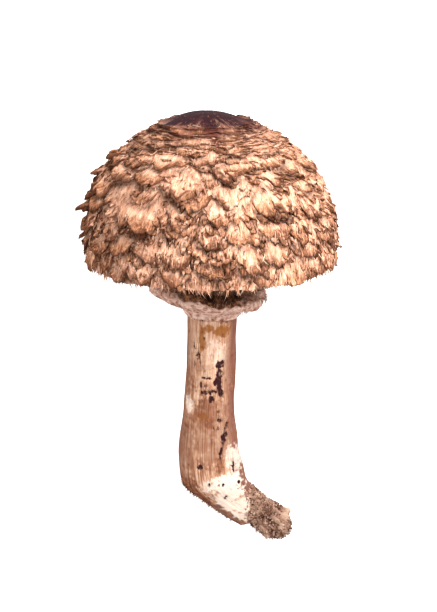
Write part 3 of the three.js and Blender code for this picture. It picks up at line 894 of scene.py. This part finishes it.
print("ring")
ringPlan = {
    "section": [(8.95, -12.1), (12, -11.4), (15.6, -10), (19.2, -8.8), (20.2, -9.6), (20.2, -10.9), (19.2, -12.3),
                (16.8, -13.8), (13.4, -15.3), (10.6, -17), (9.7, -18.8), (8.95, -19.2)],
    "slope": 0.12, "shift": 0.9, "middleRadius": 18, "columns": 300, "rows": 44, "fibres": 2400, "felt": 1300,
}
ringPoints = sampledCurve(ringPlan["section"], 200)[1]


def ringPlace(u, v):
    last = len(ringPoints) - 1
    r, z = tableAt(ringPoints, np.minimum(np.where(v > 0.999, 0, v) * last / 0.97, last))
    azimuth = 2 * math.pi * u
    outward = np.maximum(0, (r - 13) / 7)  # 0 near the stem, 1 at the lip
    rag = 1.1 * softNoise(u * 26, u * 0, 61, 26) + 0.9 * softNoise(u * 70, u * 0, 62, 70)
    wave = 1.2 * softNoise(u * 9, u * 0, 63, 9) + 0.9 * softNoise(u * 30, u * 0, 64, 30)
    wave = wave + 0.4 * softNoise(u * 90, u * 0, 67, 90)
    lumps = 0.55 * softNoise(u * 40, v * 14, 65, 40) + 0.35 * softNoise(u * 110, v * 26, 66, 110)
    lumps = lumps * (1 - 0.6 * smoothStep(0.55, 0.7, v))
    inner = smoothStep(9, 11, r)
    r = r + outward * rag + lumps * inner
    x = r * np.cos(azimuth) - outward * ringPlan["shift"]
    y = r * np.sin(azimuth)
    z = z + outward * wave - ringPlan["slope"] * x * (0.4 + 0.6 * outward) + lumps * inner * 0.6
    return x, y, z


def ringMasks(u, v):
    return {"upper": smoothStep(0.5, 0.42, v), "azimuth": 2 * math.pi * u}


ring = rolledSkin("ringCollar", ringPlan, ringPlace, ringMasks)


def bendRingFibre(fibre, base):
    side, share, top = base.T
    reach = share * fibre["length"]
    radius = fibre["radius0"] + reach * fibre["out"] + side * fibre["radius"]
    azimuth = fibre["azimuth"] + fibre["slant"] * reach / ringPlan["middleRadius"]
    x = radius * np.cos(azimuth) - ringPlan["shift"]
    z = fibre["height"] - reach * fibre["drop"] + top * fibre["radius"] - ringPlan["slope"] * x
    return laid(x, radius * np.sin(azimuth), z), {"upper": fibre["upper"], "azimuth": azimuth}


def ringFibres():
    fibres = []
    for _ in range(ringPlan["fibres"]):
        lower = rng.random() ** 1.5
        fibres.append(draws(azimuth=(0, 2 * math.pi), radius0=(19.4 - 6 * lower, 20.5 - 6 * lower),
                            height=(-10.5 - 5 * lower, -8.9 - 5 * lower), length=(0.7, 2.6), out=(0, 0.7),
                            drop=(-0.3, 1), slant=(-0.6, 0.6), radius=(0.1, 0.24), upper=(0, 1.1 - lower)))
    # Dark felt stands up in front, between the lip and the cap's margin; its darkness is partly painted shade
    for _ in range(ringPlan["felt"]):
        fibres.append(draws(azimuth=(-math.pi / 2 - 0.56, -math.pi / 2 + 0.7), radius0=(17, 20),
                            height=(-10.4, -8.2), length=(1.2, 3.2), out=(-0.2, 0.25), drop=(-1, -0.2),
                            slant=(-0.8, 0.8), radius=(0.14, 0.3), upper=(0.8, 1.3)))
    return fibres


ringHairs = copiedShape("ringHairs", hair, ringFibres(), bendRingFibre)


def makeRingFinish():
    finish = Finish("ringFelt", roughness=0.85, specular=0.03)
    patches, fine = finish.objectNoise(150, 5.0, 0.65), finish.objectNoise(600, 3.0)
    side = finish.cosine(finish.mask("azimuth"))
    upper = finish.ramp(patches * 0.6 + fine * 0.4, [
        (0.36, (0.02, 0.008, 0.005)), (0.5, (0.07, 0.025, 0.014)), (0.62, (0.26, 0.12, 0.06))])
    lower = finish.ramp(patches * 0.5 + fine * 0.5, [
        (0.36, (0.14, 0.055, 0.037)), (0.44, (0.34, 0.175, 0.125)),
        (0.52, (0.52, 0.32, 0.25)), (0.66, (0.74, 0.56, 0.48))])
    lower = finish.blend(finish.between(patches, 0.56, 0.66) * 0.65, lower, (0.2, 0.085, 0.055))
    # The upper face is dark: brown felt, deepened with painted shade under the cap's margin, except at the left and
    # right ends
    dark = finish.between(finish.mask("upper") + patches * 0.8 + fine * 0.4 - 0.6, 0.3, 0.7)
    dark = dark * finish.between(side + patches * 0.4, -0.45, -0.15)
    dark = dark * finish.between(side + patches * 0.5, 1.05, 0.75)
    finish.link(finish.blend(dark, lower, upper), "Base Color")
    finish.link(finish.bump(patches * 0.6 + fine * 0.4, 0.0006, 0.8), "Normal")
    return finish


ringFinish = makeRingFinish()
finished(ring, ringFinish, "ring", "ring")
finished(ringHairs, ringFinish, "ring")

print("soil")
soilPlan = {"middle": (20.9, 8.5, -99.3), "half": (9.2, 7.9, 6), "turn": math.radians(36),
            "grains": 2000, "footGrains": 3000, "rootlets": 230, "footRootlets": 300}


def soilPoint(way, raised):
    x, y, z = (way * raised[:, None] * np.array(soilPlan["half"])).T
    cos, sin = math.cos(soilPlan["turn"]), math.sin(soilPlan["turn"])
    return [value + middle for value, middle in zip((x * cos + z * sin, y, z * cos - x * sin), soilPlan["middle"])]


def soilSpot(way, raised):
    return np.ravel(soilPoint(way[None, :], np.array([raised])))


def footSpots(count, turns, downs):
    return np.stack(stemPlace(rng.uniform(*turns, count), rng.uniform(*downs, count)), axis=1)


def randomWay():
    direction = rng.normal(size=3)
    return direction / np.linalg.norm(direction)


bpy.ops.mesh.primitive_ico_sphere_add(subdivisions=7, radius=1)
soil = bpy.context.object
soil.name = "soilClump"
way = corners(soil)
way = way / np.linalg.norm(way, axis=1)[:, None]
lumpy = 0 * way[:, 0]
for size, depth, seed in ((2.2, 0.14, 71), (4.5, 0.08, 72), (9, 0.05, 73), (19, 0.04, 74), (38, 0.035, 75)):
    lumpy += depth * softNoise(way[:, 0] * size + 50, way[:, 1] * size + 50 + way[:, 2] * size * 1.7, seed)
    lumpy += depth * 0.6 * softNoise(way[:, 2] * size + 90, way[:, 0] * size * 1.3 + 20, seed + 9)
setCorners(soil, laid(*soilPoint(way, 0.97 + lumpy)))
setMask(soil, "tone", 0.5 + 2 * lumpy)
bpy.ops.object.shade_smooth()
soil.select_set(False)
bpy.ops.mesh.primitive_ico_sphere_add(subdivisions=1, radius=1)
grain = bpy.context.object
grainSpots = [soilSpot(randomWay(), rng.uniform(0.92, 1.06)) for _ in range(soilPlan["grains"])]
for spot in footSpots(soilPlan["footGrains"], (0, 1), (0.86, 0.985)):
    if spot[0] > stemPlan["soilFrom"] + rng.normal() * 1.5:
        grainSpots.append(spot)
grainList = [{"spot": spot, **draws(size=(0.14, 0.42), tone=(0, 1)), "stretch": rng.uniform(0.6, 1.4, 3)}
             for spot in grainSpots]


def bendGrain(item, base):
    local = base * item["stretch"] * item["size"] * (1 + 0.3 * np.sin(base[:, [1, 2, 0]] * 7 + item["tone"] * 9))
    return laid(*(item["spot"] + local).T), {"tone": item["tone"]}


grains = copiedShape("soilGrains", grain, grainList, bendGrain)


def bendRootlet(item, base):
    side, share, top = base.T
    x, y, z = item["root"]
    way = item["way"] + item["bend"] * share[:, None] * 0.8
    step = way * (share * item["length"])[:, None]
    x, y, z = x + step[:, 0] + side * item["radius"], y + step[:, 1], z + step[:, 2] + top * item["radius"]
    return laid(x, y, z), {"tone": item["tone"]}


def newRootlet(way, root, **spans):
    return {"way": way, "root": root, "bend": rng.normal(size=3) * 0.5, **draws(**spans)}


rootletList = []
for _ in range(soilPlan["rootlets"]):
    direction = randomWay()
    rootletList.append(newRootlet(direction, soilSpot(direction, 0.9), tone=(0, 1), length=(1.2, 3.6),
                                  radius=(0.06, 0.16)))
# A fringe of fine dark rootlets stands along the foot's lower edge
for root in footSpots(soilPlan["footRootlets"], (0.24, 0.36), (0.83, 0.97)):
    rootletList.append(newRootlet(np.array([-0.5, -0.25, -0.8]), root + np.array([0.2, 0, 0.3]),
                                  tone=(-0.6, 0.2), length=(0.5, 1.5), radius=(0.08, 0.18)))
rootlets = copiedShape("soilRootlets", hair, rootletList, bendRootlet)
soilFinish = Finish("soilCrumb", roughness=0.95, specular=0.03)
soilNoise, soilWide = soilFinish.objectNoise(380, 6.0, 0.7), soilFinish.objectNoise(120, 4.0)
soilColour = soilFinish.ramp(soilNoise * 0.5 + soilWide * 0.25 + soilFinish.mask("tone") * 0.25, [
    (0.36, (0.04, 0.016, 0.01)), (0.46, (0.17, 0.08, 0.052)), (0.56, (0.34, 0.2, 0.14)), (0.68, (0.56, 0.39, 0.29))])
soilFinish.link(soilColour, "Base Color")
soilFinish.link(soilFinish.bump(soilNoise, 0.0008, 1.0), "Normal")
finished(soil, soilFinish, "soil", "soil")
finished(grains, soilFinish, "soil")
finished(rootlets, soilFinish, "soil")

for shape in (bigShape, smallShape, hair, blade, grain):
    bpy.data.objects.remove(shape)

print("stage")
camera = {"distance": 597, "right": 2.3, "below": 15.5, "lens": 100}
room = {"floorSize": 6, "floorColour": (0.93, 0.93, 0.93, 1), "floorGlow": 0.7, "light": 0.5}
bpy.ops.mesh.primitive_plane_add(size=room["floorSize"])
floor = bpy.context.object
floor.name = "floor"
floorFinish = Finish("paleFloor", roughness=0.9, specular=0.1)
floorFinish.shader.inputs["Base Color"].default_value = room["floorColour"]
floorFinish.shader.inputs["Emission Color"].default_value = (1, 1, 1, 1)
floorFinish.shader.inputs["Emission Strength"].default_value = room["floorGlow"]
floor.data.materials.append(floorFinish.material)

bpy.ops.object.camera_add(location=((middleX + camera["right"]) / 1000, (middleY - camera["below"]) / 1000,
                                    (rest["height"] + camera["distance"]) / 1000))
viewer = bpy.context.object
viewer.data.lens = camera["lens"]
viewer.data.clip_start = 0.01
bpy.context.scene.camera = viewer

lights = {"key": ((0.4, 0.29, 0.73), 0.45, 12.8), "fill": ((-0.3, -0.16, 0.72), 0.8, 3.4),
          "top": ((0.0, 0.9, 0.35), 0.5, 0.8)}  # place, size, power
for lightName, (place, size, power) in lights.items():
    bpy.ops.object.light_add(type="AREA", location=place)
    lamp = bpy.context.object
    lamp.name = lightName
    lamp.data.size = size
    lamp.data.energy = power
    lamp.rotation_euler = (-lamp.location).to_track_quat("-Z", "Y").to_euler()
world = bpy.data.worlds.new("softRoom")
bpy.context.scene.world = world
world.use_nodes = True
world.node_tree.nodes["Background"].inputs["Color"].default_value = (1, 1, 1, 1)
world.node_tree.nodes["Background"].inputs["Strength"].default_value = room["light"]
bpy.context.scene.view_settings.view_transform = "Standard"
